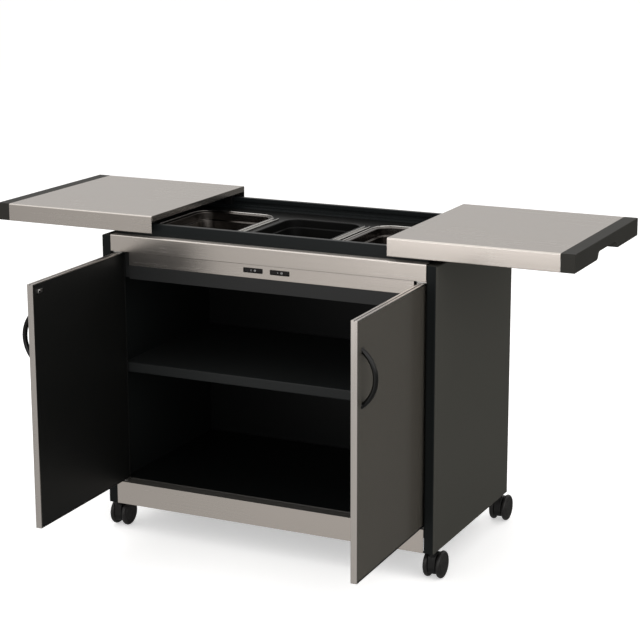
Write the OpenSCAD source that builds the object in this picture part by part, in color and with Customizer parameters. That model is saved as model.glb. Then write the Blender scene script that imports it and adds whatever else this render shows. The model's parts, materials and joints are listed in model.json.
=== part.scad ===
// Heated carving trolley, standing open: both worktops slid out, both doors swung out.
// Millimetres. +X to the right as seen from the front, +Y to the back, +Z up.
// The origin is on the floor, at the centre of the footprint of the open trolley.

/* [Cabinet] */
// Width over the two side panels
cabinet_w = 760; // [700:10:860]
// Depth of the side panels
cabinet_d = 430; // [400:5:520]
// Height of the side panels
panel_h = 591; // [540:1:680]
// Thickness of the side panels
panel_t = 22; // [19:1:26]
// Radius of the side panels' upright edges
panel_edge_r = 4; // [1:0.5:6]
// Thickness of the middle shelf
shelf_t = 22; // [12:1:25]
// Height of the middle shelf's top face above the base board
shelf_rise = 258; // [180:1:300]
// Distance from the front plane to the shelf's front edge
shelf_setback = 40; // [36:1:80]
// Thickness of the base board
base_t = 18; // [12:1:22]
// Height of the steel plinth below the doors
plinth_h = 50; // [40:1:60]
// Depth of the dark sill behind the plinth
sill_d = 34; // [28:1:60]
// Thickness of the back panel
back_t = 5; // [3:0.5:8]
// Distance from the back panel to the side panels' rear edges
back_setback = 5; // [3:0.5:12]

/* [Fascia and switches] */
// Thickness of the folded steel sheet
sheet_t = 1.2; // [0.8:0.1:1.5]
// Height of the front fascia rail
fascia_h = 35.5; // [30:0.5:42]
// Radius of the fascia's upper edge
fascia_r = 4; // [2:0.5:6]
// Depth of the ledge on top of the fascia
ledge_d = 21; // [20:0.5:26]
// Height of the fascia above the side panels
fascia_rise = 2; // [0:0.5:4]
// Height of the control strip that carries the switches
strip_h = 31.5; // [26:0.5:36]
// Distance from the front plane to the control strip
strip_setback = 18; // [18:0.5:20]
// Height of the dark apron under the control strip
apron_h = 29; // [20:1:40]
// Distance from the centre plane to each switch
switch_x = 30.5; // [25:0.5:60]
// Width of a switch bezel
bezel_w = 44; // [40:0.5:48]
// Height of a switch bezel
bezel_h = 10.4; // [9:0.1:13]
// Angle a rocker stands off its centre
rocker_tilt = 5; // [3:0.5:6]

/* [Sliding tops] */
// Height of the skirts on the tops
top_h = 37; // [34:0.5:44]
// Distance from the cabinet's rear edges to the tops' back skirts
top_setback = 19; // [6:1:30]
// Gap between the side panels and the skirts
top_gap = 11; // [8:0.5:16]
// How far a closed top reaches past the cabinet side
top_overhang = 4; // [0:0.5:8]
// Distance that the left top is slid out
left_out = 257; // [150:1:262]
// Distance that the right top is slid out
right_out = 274; // [150:1:278]
// Gap between the closed tops
meet_gap = 1; // [0.5:0.5:3]
// Thickness of the board inside a top
core_t = 11.3; // [9:0.1:13]
// Width of the dark end strip
end_strip_w = 29; // [24:0.5:34]
// Length of the finger notch in the end strip
notch_l = 130; // [100:1:160]
// Height of the finger notch
notch_h = 15; // [10:0.5:18]

/* [Well] */
// Height of the rails above the fascia ledge
rail_h = 25.5; // [22:0.5:27]
// Thickness of the rails
rail_t = 12; // [10:0.5:14]
// Height of the groove that the slide shoes run in
groove_h = 7.5; // [6:0.5:8]
// Depth of that groove
groove_d = 3.5; // [2.5:0.5:5]
// Distance from the end rails to the outer pans
pan_side = 27; // [19:1:40]
// Distance from the front rail to the pans
pan_front = 37; // [24:1:50]
// Distance from the back rail to the pans
pan_back = 62; // [45:1:80]
// Corner radius of a pan's rim
pan_r = 42; // [25:1:55]
// Depth of the two steel pans
pan_depth = 58; // [40:1:64]
// Depth of the dark middle pan
deep_pan_depth = 68; // [50:1:72]
// Width of a pan's rim
rim_w = 9; // [7:0.5:11]
// Width of the divider bars between the pans
divider_w = 14; // [12:0.5:16]
// Height of the divider bars' upturned edges
divider_h = 5; // [3:0.5:6]
// Gap between a divider bar and the pans
divider_gap = 4; // [3:0.5:8]
// Depth of the heated tub below the deck
tub_depth = 85; // [78:1:90]
// Diameter of the heating element
element_d = 6.5; // [5:0.5:7]

/* [Doors] */
// Thickness of the doors
door_t = 13; // [12:0.5:14]
// Gap between a door and its side panel
door_gap = 1.5; // [1:0.5:3]
// Distance from the front plane to the closed doors
door_setback = 1; // [0:0.5:1.5]
// Angle that the left door stands open
left_door_open = 88.7; // [60:0.1:95]
// Angle that the right door stands open
right_door_open = 91.3; // [60:0.1:95]
// Thickness of the steel edge trim
trim_t = 3; // [2:0.5:4]
// Distance from the hinge edge to the pivot
pivot_in = 15.1; // [14:0.1:18]
// Distance from the door's back face to the pivot
pivot_back = 0.9; // [0.5:0.1:2]
// Diameter of the pivot pins
pin_d = 4; // [3:0.5:4.5]
// Length of the bow handle between its feet
handle_l = 104; // [90:1:140]
// Reach of the handle's centre line
handle_reach = 26; // [22:1:32]
// Diameter of the handle's bar
handle_d = 10; // [6:0.5:12]
// Distance from the door's free edge to the handle
handle_in = 25; // [20:1:60]
// Distance from the door's upper edge to the handle's middle
handle_drop = 112; // [90:1:200]

/* [Casters] */
// Diameter of a caster wheel
wheel_d = 57; // [50:1:62]
// Width of a caster wheel
wheel_w = 10; // [8:0.5:11]
// Distance between the twin wheels' middles
wheel_pitch = 28; // [27:0.5:34]
// Offset from the stem to the axle
trail = 16; // [12:0.5:22]
// Diameter of the caster stems
stem_d = 8; // [7:0.5:10]
// Depth of a stem in its side panel
stem_seat = 30; // [20:1:40]
// Distance from the panel's front and rear edges to the stems
stem_in = 25; // [20:1:60]
// Diameter of the axles
axle_d = 6; // [5:0.5:7]

/* [Hidden] */

$fn = 48;
hull_fn = 32;
eps = 0.01;

charcoal = "#3b3b38";
black = "#161616";
rail_grey = "#2c2d2e";
steel = "#b9b0a7";
bright = "#c9c5c0";

// Clearances: a running fit on a pin, and a plain gap beside what moves
run_gap = 0.05;
side_gap = 0.5;
wheel_gap = 5;

// Heights, from the floor up
panel_z = wheel_d + wheel_gap;
panel_top = panel_z + panel_h;
plinth_top = panel_z + plinth_h;
base_drop = 0.5;
base_z = plinth_top - base_drop;
shelf_top = base_z + shelf_rise;
skirt_z = panel_top + top_gap;
top_z = skirt_z + top_h;
core_z = top_z - sheet_t - core_t;
ledge_z = panel_top + fascia_rise;
fascia_z = ledge_z - fascia_h;
strip_z = fascia_z - strip_h;
apron_z = strip_z - apron_h;
rail_z = ledge_z + rail_h;

// Widths and depths
inner_x = cabinet_w / 2 - panel_t;
back_y = cabinet_d - back_setback - back_t;
top_w = cabinet_w / 2 + top_overhang;
top_d = cabinet_d - top_setback;
rail_y = ledge_d;
rail_back_y = top_d - ledge_d;
rail_end_gap = 1.5;
rail_end = top_w - end_strip_w - rail_end_gap;
rail_in = rail_y + rail_t;
rail_back_in = rail_back_y - rail_t;

// Rail section: groove for the shoes, step, and lip that carries the deck
step_w = 8;
step_rise = 4;
lip_w = 8;
lip_h = 8.8;
deck_top = ledge_z + 2;
deck_z = deck_top - sheet_t;
groove_z = ledge_z + 9;

// Pans, dividers and tub: three pans with a bar between each two fill the well
well_half = rail_end - rail_t;
pan_w = (2 * (well_half - pan_side) - 2 * (divider_w + 2 * divider_gap)) / 3;
pan_y0 = rail_in + pan_front;
pan_y1 = rail_back_in - pan_back;
pan_l = pan_y1 - pan_y0;
pan_y = (pan_y0 + pan_y1) / 2;
divider_x = pan_w / 2 + divider_gap + divider_w / 2;
pan_x = divider_x + divider_w / 2 + divider_gap + pan_w / 2;
rim_t = 1.2;
rim_roll = 3;
pan_wall = 1.2;
pan_taper = 5;
shoulder_depth = 18;
shoulder_w = 5;
deck_gap = 1;
tub_gap = 2;
tub_z = deck_z - tub_depth;
tub_y0 = rail_in + step_w + lip_w + tub_gap;
tub_y1 = rail_back_in - step_w - lip_w - tub_gap;
tub_x = rail_end - rail_t - tub_gap - 4;
tub_r = 20;

// Doors: closed, they fill the front between the side panels
bracket_t = 2;
top_bracket_t = 3.5;
door_lift = bracket_t + side_gap;
door_z = plinth_top + door_lift;
door_top = fascia_z - top_bracket_t - side_gap;
door_h = door_top - door_z;
door_w = inner_x - door_gap - meet_gap;
door_x = -inner_x + door_gap;
door_y = door_setback;
pivot_x = door_x + pivot_in;
pivot_y = door_y + door_t - pivot_back;
plate_t = 2;
plate_half = 11;
plate_reach = 3;

// Footprint of the open trolley, to put the origin at its centre
door_arm = door_w - pivot_in;
door_face = pivot_y - door_y;
front_reach = pivot_y - door_arm * sin(left_door_open) - door_face * cos(left_door_open);
back_reach = cabinet_d - stem_in + trail + wheel_d / 2;
stand_x = (left_out - right_out) / 2;
stand_y = -(front_reach + back_reach) / 2;

module place() {
  translate([stand_x, stand_y, 0]) children();
}

// ---- Shared shapes ----

// Rectangle with rounded corners, centred on the origin
module rounded(w, l, r) {
  square([w - 2 * r, l], center = true);
  square([w, l - 2 * r], center = true);
  for (sx = [-1, 1], sy = [-1, 1]) {
    translate([sx * (w / 2 - r), sy * (l / 2 - r)]) circle(r = r);
  }
}

// Extrudes a profile drawn in Y and Z along X, centred
module along_x(length) {
  rotate([90, 0, 90]) translate([0, 0, -length / 2]) linear_extrude(length) children();
}

// Rectangle with only its upper corner at the origin side rounded
module one_round(w, h, r) {
  difference() {
    square([w, h]);
    translate([0, h - r]) square([r, r]);
  }
  translate([r, h - r]) circle(r = r);
}

// Rectangle with both upper corners rounded
module two_round(w, h, r) {
  square([w, h - r]);
  translate([r, 0]) square([w - 2 * r, h]);
  for (y = [r, w - r]) translate([y, h - r]) circle(r = r);
}

module mirror_x() {
  mirror([1, 0, 0]) children();
}

// ---- Cabinet ----

module side_panel() {
  bore_depth = 10;
  color(charcoal) difference() {
    translate([inner_x + panel_t / 2, cabinet_d / 2, panel_z])
      linear_extrude(panel_h) rounded(panel_t, cabinet_d, panel_edge_r);
    // Bevel along the top's outer edge
    translate([inner_x + panel_t, -1, panel_top]) rotate([0, 45, 0])
      translate([-bevel, 0, -bevel]) cube([2 * bevel, cabinet_d + 2, 2 * bevel]);
    for (y = [shelf_pin_front, shelf_pin_back]) {
      translate([inner_x - eps, y, shelf_pin_z]) rotate([0, 90, 0])
        cylinder(d = shelf_pin_d, h = bore_depth + eps);
    }
    for (y = [stem_in, cabinet_d - stem_in]) {
      translate([stem_x, y, panel_z - eps]) cylinder(d = stem_d, h = stem_seat + eps);
    }
  }
}

bevel = 1.6;
stem_x = inner_x + panel_t / 2;
shelf_pin_d = 6;
shelf_pin_l = 18;
shelf_pin_seat = 10;
shelf_pin_in = 50;
shelf_pin_front = shelf_setback + shelf_pin_in;
shelf_pin_back = back_y - shelf_pin_in;
shelf_pin_z = shelf_top - shelf_t - shelf_pin_d / 2;

module left_side_panel() mirror_x() side_panel();
module right_side_panel() side_panel();

inlet_x = 235;
inlet_rise = 20;
inlet_z = strip_z + inlet_rise;
inlet_w = 28;
inlet_h = 48;
inlet_body_w = 24;
inlet_body_h = 31;

module back_panel() {
  color(black) difference() {
    translate([-inner_x, back_y, base_z - base_t]) cube([2 * inner_x, back_t, panel_top - base_z + base_t]);
    translate([inlet_x, back_y - 1, inlet_z]) rotate([-90, 0, 0])
      linear_extrude(back_t + 2) square([inlet_body_w, inlet_body_h], center = true);
  }
}

module base_board() {
  color(black)
    translate([-inner_x, sill_d, base_z - base_t]) cube([2 * inner_x, back_y - sill_d, base_t]);
}

// Dark sill that the closed doors stand over, with a drip groove
module door_sill() {
  groove = 2;
  color(charcoal) along_x(2 * inner_x) difference() {
    translate([sheet_t, base_z - base_t]) square([sill_d - sheet_t, plinth_top - base_z + base_t]);
    translate([sill_d - 3 * groove, plinth_top - groove / 2]) square([groove, groove]);
  }
}

// Steel plinth plate with a fold along its lower edge
module plinth() {
  fold = 12;
  color(steel) along_x(2 * inner_x) {
    translate([0, panel_z]) square([sheet_t, plinth_h]);
    translate([0, panel_z]) square([fold, sheet_t]);
  }
}

module middle_shelf() {
  nose = 3;
  depth = back_y - shelf_setback - side_gap;
  color(black) along_x(2 * (inner_x - side_gap)) translate([shelf_setback, shelf_top - shelf_t]) {
    translate([nose, 0]) square([depth - nose, shelf_t]);
    translate([0, nose]) square([2 * nose, shelf_t - 2 * nose]);
    translate([nose, nose]) circle(r = nose);
    translate([nose, shelf_t - nose]) circle(r = nose);
  }
}

module shelf_pins() {
  color(bright) for (sx = [-1, 1], y = [shelf_pin_front, shelf_pin_back]) {
    translate([sx * (inner_x + shelf_pin_seat - shelf_pin_l / 2), y, shelf_pin_z]) rotate([0, 90, 0])
      cylinder(d = shelf_pin_d, h = shelf_pin_l, center = true);
  }
}

// ---- Fascia, control strip and ceiling of the compartment ----

module fascia_rail() {
  fold_back = strip_setback + sheet_t;
  color(steel) along_x(2 * inner_x) {
    difference() {
      translate([0, fascia_z]) one_round(ledge_d, fascia_h, fascia_r);
      translate([sheet_t, fascia_z + sheet_t])
        one_round(ledge_d, fascia_h - 2 * sheet_t, fascia_r - sheet_t);
      translate([fold_back, fascia_z - 1]) square([ledge_d, fascia_h / 2]);
    }
  }
}

// Pockets at both ends of the strip, where the open doors' hinge edges come to lie
pocket_w = 33;
pocket_d = 31;
strip_x = inner_x - pocket_w;
bezel_z = strip_z + strip_h / 2;
switch_w = bezel_w - 4;
switch_h = bezel_h - 2;
switch_depth = 16;
bezel_proud = 1.2;
cavity_w = switch_w - 1.6;
cavity_h = switch_h - 1.2;
cavity_d = 5;
rocker_half = cavity_w / 2 - 0.7;
rocker_h = cavity_h - 0.6;
rocker_dip = 0.8;
rocker_back = 2.6;
rocker_axis_y = strip_setback + 2;

module control_strip() {
  color(steel) difference() {
    translate([-strip_x, strip_setback, strip_z]) cube([2 * strip_x, sheet_t, strip_h]);
    for (sx = [-1, 1]) {
      translate([sx * switch_x, strip_setback - 1, bezel_z]) rotate([-90, 0, 0])
        linear_extrude(sheet_t + 2) square([switch_w, switch_h], center = true);
    }
  }
}

// Bezel and body of a switch, with the cavity that its rocker tilts in
module switch_bezel() {
  difference() {
    union() {
      translate([0, -bezel_proud, 0]) rotate([-90, 0, 0])
        linear_extrude(bezel_proud) rounded(bezel_w, bezel_h, 1.5);
      rotate([-90, 0, 0]) linear_extrude(switch_depth) square([switch_w, switch_h], center = true);
    }
    translate([0, -bezel_proud - 1, 0]) rotate([-90, 0, 0])
      linear_extrude(bezel_proud + 1 + cavity_d) square([cavity_w, cavity_h], center = true);
  }
}

module switch_bezels() {
  color(black) for (sx = [-1, 1]) translate([sx * switch_x, strip_setback, bezel_z]) switch_bezel();
}

// Rocker that tips about an upright axis: its face dips to the middle
module rocker(sx) {
  color(charcoal) translate([sx * switch_x, rocker_axis_y, bezel_z]) rotate([0, 0, rocker_tilt])
    linear_extrude(rocker_h, center = true) polygon([
      [-rocker_half, -rocker_back],
      [0, -rocker_back + rocker_dip],
      [rocker_half, -rocker_back],
      [rocker_half, 0.4],
      [-rocker_half, 0.4]
    ]);
}

module left_rocker() rocker(-1);
module right_rocker() rocker(1);

ceiling_t = 1.5;

// Sheet that closes the compartment under the tub, with the apron and the walls of the two pockets
module ceiling_panel() {
  wall_h = fascia_z - apron_z;
  color(black) translate([0, 0, apron_z]) {
    translate([-strip_x, strip_setback, 0]) cube([2 * strip_x, pocket_d - strip_setback + 1, ceiling_t]);
    translate([-inner_x, pocket_d, 0]) cube([2 * inner_x, back_y - pocket_d, ceiling_t]);
    translate([-strip_x, strip_setback, 0]) cube([2 * strip_x, ceiling_t, apron_h]);
    for (m = [0, 1]) mirror([m, 0, 0]) {
      translate([strip_x - ceiling_t, strip_setback + sheet_t, 0])
        cube([ceiling_t, pocket_d - strip_setback, wall_h]);
      translate([strip_x - ceiling_t, pocket_d, 0]) cube([pocket_w + ceiling_t, ceiling_t, wall_h]);
    }
  }
}

// ---- Well: rails, deck, dividers, tub, element ----

// Rail section, outer face at the origin: groove for the shoes, step, lip for the deck
module rail_profile() {
  foot = lip_h - 2;
  difference() {
    union() {
      one_round(rail_t, rail_h, 1.5);
      translate([0, -foot]) square([rail_t + step_w, foot + step_rise]);
      translate([0, -foot]) square([rail_t + step_w + lip_w, lip_h - sheet_t]);
    }
    translate([rail_t - groove_d, groove_z - ledge_z]) square([groove_d + 1, groove_h]);
    // Seat of the fascia's ledge
    translate([-1, -foot - 1]) square([1, foot]);
  }
}

module front_rail() {
  color(rail_grey) along_x(2 * rail_end) translate([rail_y, ledge_z]) rail_profile();
}

module back_rail() {
  color(rail_grey) along_x(2 * rail_end) translate([rail_back_y, ledge_z]) mirror([1, 0, 0]) rail_profile();
}

module end_rails() {
  foot = lip_h - 2;
  length = rail_back_in - rail_in - 2 * (step_w + lip_w);
  side = rail_in + step_w + lip_w;
  color(rail_grey) for (m = [0, 1]) mirror([m, 0, 0]) {
    translate([rail_end - rail_t, rail_in + step_w, ledge_z + step_rise])
      cube([rail_t, length + 2 * lip_w, rail_h - step_rise]);
    translate([rail_end - rail_t, side, ledge_z - foot]) cube([inner_x - rail_end + rail_t, length, foot + step_rise]);
    translate([rail_end - rail_t - 4, side, ledge_z - foot]) cube([4, length, deck_z - ledge_z + foot]);
  }
}

// Rim outline of a pan's body, shrunk by inset
module pan_outline(inset) {
  r = max(pan_r - inset, 2);
  rounded(pan_w - 2 * inset, pan_l - 2 * inset, r);
}

module well_deck() {
  y0 = rail_in + step_w;
  y1 = rail_back_in - step_w;
  color(black) difference() {
    translate([-rail_end + rail_t, y0, deck_z]) cube([2 * (rail_end - rail_t), y1 - y0, sheet_t]);
    for (sx = [-1, 0, 1]) {
      translate([sx * pan_x, pan_y, deck_z - 1]) linear_extrude(sheet_t + 2)
        pan_outline(rim_w - deck_gap);
    }
  }
}

// Steel channel between two pans, its two edges turned up
module divider_bars() {
  edge = 2;
  length = pan_l - 2 * pan_r + 4;
  color(bright) for (sx = [-1, 1]) {
    translate([sx * divider_x, pan_y, deck_top]) rotate([90, 0, 0]) linear_extrude(length, center = true) {
      translate([-divider_w / 2, 0]) square([divider_w, sheet_t]);
      for (m = [0, 1]) mirror([m, 0]) translate([divider_w / 2 - edge, 0]) {
        square([edge, divider_h - edge / 2]);
        translate([edge / 2, divider_h - edge / 2]) circle(d = edge);
      }
    }
  }
}

module well_tub() {
  w = 2 * tub_x;
  l = tub_y1 - tub_y0;
  color(steel) translate([0, (tub_y0 + tub_y1) / 2, tub_z]) difference() {
    linear_extrude(tub_depth) rounded(w, l, tub_r);
    translate([0, 0, sheet_t]) linear_extrude(tub_depth) rounded(w - 2 * sheet_t, l - 2 * sheet_t, tub_r - sheet_t);
  }
}

element_gap = 0.3;
element_pitch = 56;
element_run = 500;
element_passes = 4;

// Tube bent to and fro under the tub's floor
module heating_element() {
  r = element_pitch / 2;
  z = tub_z - element_gap - element_d / 2;
  y0 = (tub_y0 + tub_y1) / 2 - element_pitch * (element_passes - 1) / 2;
  color(rail_grey) translate([0, y0, z]) {
    for (i = [0 : element_passes - 1]) {
      translate([0, i * element_pitch, 0]) rotate([0, 90, 0]) cylinder(d = element_d, h = element_run, center = true);
    }
    for (i = [0 : element_passes - 2]) {
      side = i % 2 == 0 ? 1 : -1;
      translate([side * element_run / 2, (i + 0.5) * element_pitch, 0]) rotate([0, 0, side > 0 ? -90 : 90])
        rotate_extrude(angle = 180) translate([r, 0]) circle(d = element_d);
    }
  }
}

// Terminal and thermostat housing on the inside of the back panel
module thermostat_box() {
  w = 90;
  h = 44;
  d = back_y - tub_y1 - 6;
  lid = 2;
  color(black) translate([0, back_y - d, tub_z + 14]) {
    translate([-w / 2, lid, 0]) cube([w, d - lid, h]);
    translate([-w / 2 - 3, 0, -3]) cube([w + 6, lid, h + 6]);
  }
}

// Mains inlet: flange outside, body through the back panel, socket with three blades
module mains_inlet() {
  flange = 2.5;
  body_d = 24;
  socket_d = 17;
  blade = [[-7, 0], [7, 0], [0, 4]];
  color(black) translate([inlet_x, back_y + back_t, inlet_z]) {
    difference() {
      union() {
        rotate([-90, 0, 0]) linear_extrude(flange) rounded(inlet_w, inlet_h, 4);
        translate([0, -body_d, 0]) rotate([-90, 0, 0]) linear_extrude(body_d)
          square([inlet_body_w, inlet_body_h], center = true);
      }
      translate([0, flange - socket_d, 0]) rotate([-90, 0, 0]) linear_extrude(socket_d + 1)
        rounded(inlet_body_w - 3, inlet_body_h - 13, 3);
    }
    for (p = blade) {
      translate([p[0], flange - socket_d - 1, p[1]]) translate([-1, 0, -2.5]) cube([2, 14, 5]);
    }
  }
}

// ---- Door hardware on the cabinet ----

bracket_reach = 6;

module hinge_bracket(z, t) {
  difference() {
    translate([-inner_x, pivot_y - bracket_reach, z])
      cube([pivot_x + bracket_reach + inner_x, bracket_reach + strip_setback - pivot_y - 0.2, t]);
    translate([pivot_x, pivot_y, z - 1]) cylinder(d = pin_d + 2 * run_gap, h = t + 2);
  }
}

module hinge_brackets() {
  color(bright) for (m = [0, 1]) mirror([m, 0, 0]) {
    hinge_bracket(plinth_top, bracket_t);
    hinge_bracket(fascia_z - top_bracket_t, top_bracket_t);
  }
}

// ---- Sliding tops, drawn closed on the left, then slid out ----

// Steel sheet: worktop, front and back skirts and the turned-down inner edge
module top_sheet(out) {
  length = top_w - end_strip_w - meet_gap / 2;
  inner = -meet_gap / 2;
  r = 3;
  color(steel) translate([-out, 0, 0]) {
    translate([inner - length / 2, 0, 0]) along_x(length) difference() {
      translate([0, skirt_z]) two_round(top_d, top_h, r);
      translate([sheet_t, skirt_z - 1]) two_round(top_d - 2 * sheet_t, top_h + 1 - sheet_t, r - sheet_t);
    }
    translate([inner - sheet_t, sheet_t, core_z]) cube([sheet_t, top_d - 2 * sheet_t, core_t]);
  }
}

module top_core(out) {
  length = top_w - end_strip_w - meet_gap / 2 - sheet_t;
  r = 2;
  color(black) translate([-out - meet_gap / 2 - sheet_t - length / 2, 0, 0]) along_x(length)
    translate([sheet_t, core_z]) two_round(top_d - 2 * sheet_t, core_t, r);
}

// Dark end strip with the finger notch cut up into its lower edge
module end_strip(out) {
  slope = 8;
  color(charcoal) translate([-out - top_w, 0, 0]) difference() {
    translate([end_strip_w / 2, 0, 0]) along_x(end_strip_w) translate([0, skirt_z]) two_round(top_d, top_h, 2);
    translate([end_strip_w / 2, top_d / 2, skirt_z]) along_x(end_strip_w + 2) polygon([
      [-notch_l / 2, -1],
      [-notch_l / 2 + slope, notch_h],
      [notch_l / 2 - slope, notch_h],
      [notch_l / 2, -1]
    ]);
  }
}

shoe_l = 18;
shoe_in = 14;
shoe_gap = 0.3;
shoe_leg = 3;

// Nylon shoe: rides on the rail, goes down its inner face and hooks into the groove
module shoe() {
  foot_z = groove_z + 1;
  foot_h = groove_h - 2;
  color(black) along_x(shoe_l) {
    translate([rail_y + 1, rail_z + shoe_gap])
      square([rail_t - 1 + shoe_gap + shoe_leg, core_z - rail_z - shoe_gap]);
    translate([rail_in + shoe_gap, foot_z]) square([shoe_leg, core_z - foot_z]);
    translate([rail_in - groove_d + 0.5, foot_z]) square([groove_d + shoe_leg - 0.2, foot_h]);
  }
}

module top_shoes(out) {
  far = top_w - end_strip_w - shoe_l - shoe_in;
  translate([-out, 0, 0]) for (x = [shoe_in, far]) {
    translate([-x - shoe_l / 2, 0, 0]) {
      shoe();
      translate([0, top_d, 0]) mirror([0, 1, 0]) shoe();
    }
  }
}

module left_top_sheet() top_sheet(left_out);
module left_top_core() top_core(left_out);
module left_end_strip() end_strip(left_out);
module left_top_shoes() top_shoes(left_out);
module right_top_sheet() mirror_x() top_sheet(right_out);
module right_top_core() mirror_x() top_core(right_out);
module right_end_strip() mirror_x() end_strip(right_out);
module right_top_shoes() mirror_x() top_shoes(right_out);

// ---- Doors, drawn closed on the left, then swung open about the pivot ----

module swing(angle) {
  translate([pivot_x, pivot_y, 0]) rotate([0, 0, -angle]) translate([-pivot_x, -pivot_y, 0]) children();
}

// Outer hinge corner that is rounded off about the pivot, to roll past the side panel
module hinge_corner() {
  roll_r = pivot_x + inner_x - 0.6;
  translate([pivot_x, pivot_y, door_z - 1]) difference() {
    translate([-pivot_in - 1, -door_t, 0]) cube([pivot_in + 1, door_t, door_h + 2]);
    translate([0, 0, -1]) cylinder(r = roll_r, h = door_h + 4);
  }
}

// Room that the pivot plates take in the door's two end edges
module plate_seats() {
  for (z = [door_z, door_top - plate_t]) {
    translate([pivot_x - plate_half, door_y + 2, z - eps]) cube([2 * plate_half, door_t, plate_t + 2 * eps]);
  }
}

module door_panel() {
  face = 0.5;
  color(charcoal) difference() {
    translate([door_x + trim_t, door_y + face, door_z + trim_t])
      cube([door_w - 2 * trim_t, door_t - 2 * face, door_h - 2 * trim_t]);
    hinge_corner();
    plate_seats();
  }
}

// Steel trim round the door's four edges, with a fine groove along the top one
module door_trim() {
  groove_w = 2;
  groove_in = 0.8;
  color(bright) difference() {
    translate([door_x, door_y, door_z]) cube([door_w, door_t, door_h]);
    translate([door_x + trim_t, door_y - 1, door_z + trim_t])
      cube([door_w - 2 * trim_t, door_t + 2, door_h - 2 * trim_t]);
    translate([door_x - 1, door_y + door_t / 2 - groove_w / 2, door_top - groove_in])
      cube([door_w + 2, groove_w, groove_in + 1]);
    hinge_corner();
    plate_seats();
  }
}

// Bow handle: an arc of round bar on two feet
module door_handle() {
  half = handle_l / 2;
  r = (half * half + handle_reach * handle_reach) / (2 * handle_reach);
  a = asin(half / r);
  foot_d = handle_d + 2;
  foot_t = 2.5;
  face = 0.5;
  x = door_x + door_w - handle_in;
  color(black) translate([x, door_y + face, door_top - handle_drop]) {
    difference() {
      translate([0, r - handle_reach, 0]) rotate([0, 90, 0]) rotate([0, 0, 180 + 90 - a - 6])
        rotate_extrude(angle = 2 * a + 12) translate([r, 0]) circle(d = handle_d);
      translate([-handle_d, 0, -handle_l]) cube([2 * handle_d, r, 2 * handle_l]);
    }
    for (sz = [-1, 1]) {
      translate([0, -foot_t, sz * half]) rotate([-90, 0, 0]) cylinder(d = foot_d, h = foot_t);
    }
  }
}

magnet_in = 16;
magnet_w = 16;
magnet_h = 8;
magnet_drop = 13;
magnet_t = 2.8;

// Pivot plates with their pins, and the magnet that clings to the steel control strip
module door_fittings() {
  pin_rise = 3.2;
  lower_pin = 2.2;
  color(bright) {
    translate([pivot_x - plate_half, door_y + 2, door_top - plate_t])
      cube([2 * plate_half, door_t - 2 + plate_reach, plate_t]);
    translate([pivot_x - plate_half, door_y + 2, door_z])
      cube([2 * plate_half, door_t - 2 + plate_reach, plate_t]);
    translate([pivot_x, pivot_y, door_top - plate_t / 2]) cylinder(d = pin_d, h = plate_t / 2 + pin_rise);
    translate([pivot_x, pivot_y, door_z - lower_pin]) cylinder(d = pin_d, h = lower_pin + plate_t / 2);
    translate([door_x + door_w - magnet_in - magnet_w, door_y + door_t - 0.5, door_top - magnet_drop - magnet_h])
      cube([magnet_w, magnet_t, magnet_h]);
  }
}

module left_door_panel() swing(left_door_open) door_panel();
module left_door_trim() swing(left_door_open) door_trim();
module left_handle() swing(left_door_open) door_handle();
module left_door_fittings() swing(left_door_open) door_fittings();
module right_door_panel() mirror_x() swing(right_door_open) door_panel();
module right_door_trim() mirror_x() swing(right_door_open) door_trim();
module right_handle() mirror_x() swing(right_door_open) door_handle();
module right_door_fittings() mirror_x() swing(right_door_open) door_fittings();

// ---- Pans ----

// Closed body of a pan from its rim down, tapered, with rounded corners
module pan_body(inset, depth, taper) {
  hull() {
    linear_extrude(eps) pan_outline(inset, $fn = hull_fn);
    translate([0, 0, -depth]) linear_extrude(eps) pan_outline(inset + taper, $fn = hull_fn);
  }
}

// Pan with a rolled rim, a shoulder below it and tapered walls
module pan(x, depth, rim, shoulder) {
  low = depth - shoulder_depth;
  translate([x, pan_y, deck_top]) difference() {
    union() {
      linear_extrude(rim_t) pan_outline(0);
      linear_extrude(rim) difference() {
        pan_outline(0);
        pan_outline(1.6);
      }
      pan_body(rim_w, shoulder_depth, 1);
      translate([0, 0, -shoulder_depth]) pan_body(rim_w + shoulder, low, pan_taper);
    }
    translate([0, 0, -shoulder_depth + pan_wall]) linear_extrude(shoulder_depth + 2 * rim)
      pan_outline(rim_w + 1 + pan_wall);
    translate([0, 0, -shoulder_depth + 2 * pan_wall])
      pan_body(rim_w + shoulder + pan_wall, low - pan_wall, pan_taper);
  }
}

module left_pan() color(bright) pan(-pan_x, pan_depth, rim_roll, shoulder_w);
module right_pan() color(bright) pan(pan_x, pan_depth, rim_roll, shoulder_w);
module middle_pan() color(black) pan(0, deep_pan_depth, rim_t, 2);

// ---- Casters ----

module caster_stems() {
  grip = 26;
  color(bright) for (sx = [-1, 1], y = [stem_in, cabinet_d - stem_in]) {
    translate([sx * stem_x, y, panel_z - grip]) cylinder(d = stem_d, h = grip + stem_seat);
  }
}

// Where a caster stands: side -1 or 1, front or rear; all four trail to the back
module at_caster(sx, rear) {
  translate([sx * stem_x, rear ? cabinet_d - stem_in : stem_in, 0]) children();
}

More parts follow.
